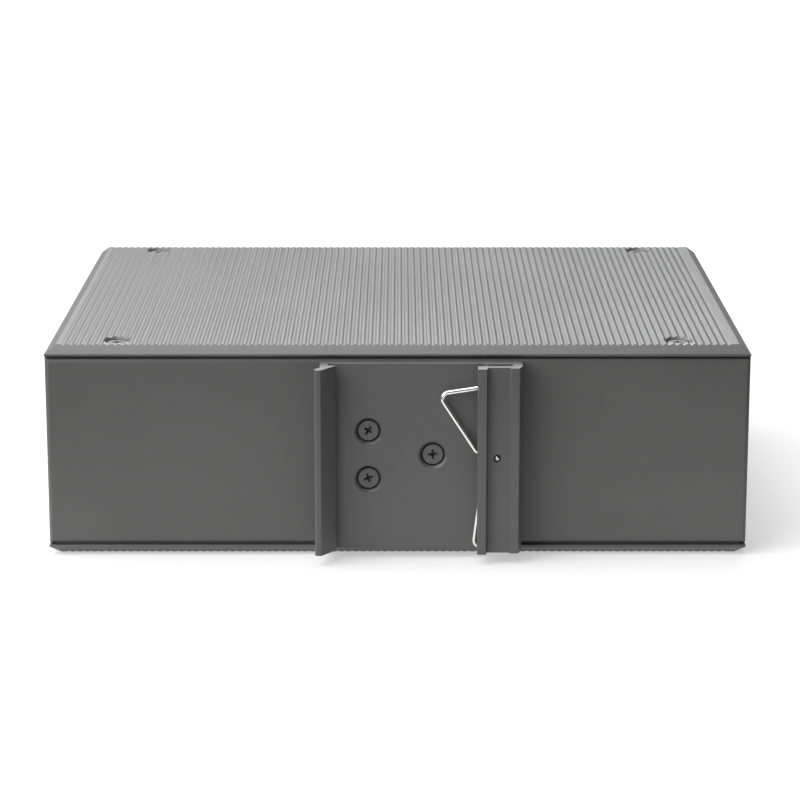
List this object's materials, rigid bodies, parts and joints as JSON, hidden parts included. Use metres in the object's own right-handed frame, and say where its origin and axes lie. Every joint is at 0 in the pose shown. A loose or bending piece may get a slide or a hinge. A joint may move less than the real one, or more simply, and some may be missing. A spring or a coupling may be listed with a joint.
{
  "type": "din rail ethernet switch",
  "caption": "Managed network switch in a flat metal case with ribbed covers, clipping on a top hat rail by a hooked plate and a bent wire spring.",
  "frame": {"origin": "centre of the footprint, at the lower cover's ribbed face", "axes": "+X along the long side towards the clip end of the rail plate, +Y from the rail side to the port side, +Z from the lower to the upper cover"},
  "size_m": [0.15, 0.1204, 0.0462],
  "materials": {
    "cover": "fine ribbed, painted light grey",
    "case": "dark grey fine-textured powder coat",
    "plate": "dark grey powder-coated extrusion",
    "fastener": "dark plated steel",
    "wire": "bright drawn spring wire",
    "board": "solder mask",
    "spacer": "turned brass",
    "insert": "moulded black",
    "shield": "tinned sheet",
    "contact": "gold plated",
    "header": "moulded green",
    "switch_body": "moulded",
    "lever": "moulded white",
    "guide": "clear moulded",
    "led": "cast",
    "chip": "moulded",
    "pad": "soft filled silicone",
    "block": "milled",
    "magnetic": "moulded",
    "can": "drawn can with sleeve",
    "ferrite": "sintered"
  },
  "bodies": {
    "case": {"side_cover_upper": "cover", "side_cover_lower": "cover", "cover_screws_upper": "fastener", "cover_screws_lower": "fastener", "housing": "case", "front_panel": "case", "front_panel_screws": "fastener", "din_plate": "plate", "din_plate_screws": "fastener", "main_board": "board", "board_spacers": "spacer", "board_screws": "fastener", "rj45_block": "insert", "rj45_contacts": "contact", "rj45_shield": "shield", "sfp_cages": "shield", "sfp_connectors": "insert", "power_header": "header", "power_pins": "contact", "dip_switch": "switch_body", "reset_switch": "switch_body", "status_leds": "led", "light_guides": "guide", "switch_chip": "chip", "thermal_pad": "pad", "heat_block": "block", "magnetics": "magnetic", "capacitors": "can", "inductor": "ferrite", "ground_screw": "fastener"},
    "spring": {"rail_spring": "wire"},
    "dip_one": {"dip_lever_one": "lever"},
    "dip_two": {"dip_lever_two": "lever"},
    "reset": {"reset_button": "lever"}
  },
  "joints": [
    {"name": "spring_swing", "type": "hinge", "parent": "case", "child": "spring", "pos_m": [0.0211, -0.05552, 0.0231], "axis": [0, 1, 0], "range_deg": [0, 26]},
    {"name": "dip_one_slide", "type": "slide", "parent": "case", "child": "dip_one", "axis": [0, 0, 1], "range_m": [0, 0.0014]},
    {"name": "dip_two_slide", "type": "slide", "parent": "case", "child": "dip_two", "axis": [0, 0, 1], "range_m": [0, 0.0014]},
    {"name": "reset_press", "type": "slide", "parent": "case", "child": "reset", "axis": [0, -1, 0], "range_m": [0, 0.0006], "stiffness_N_per_m": 300}
  ]
}
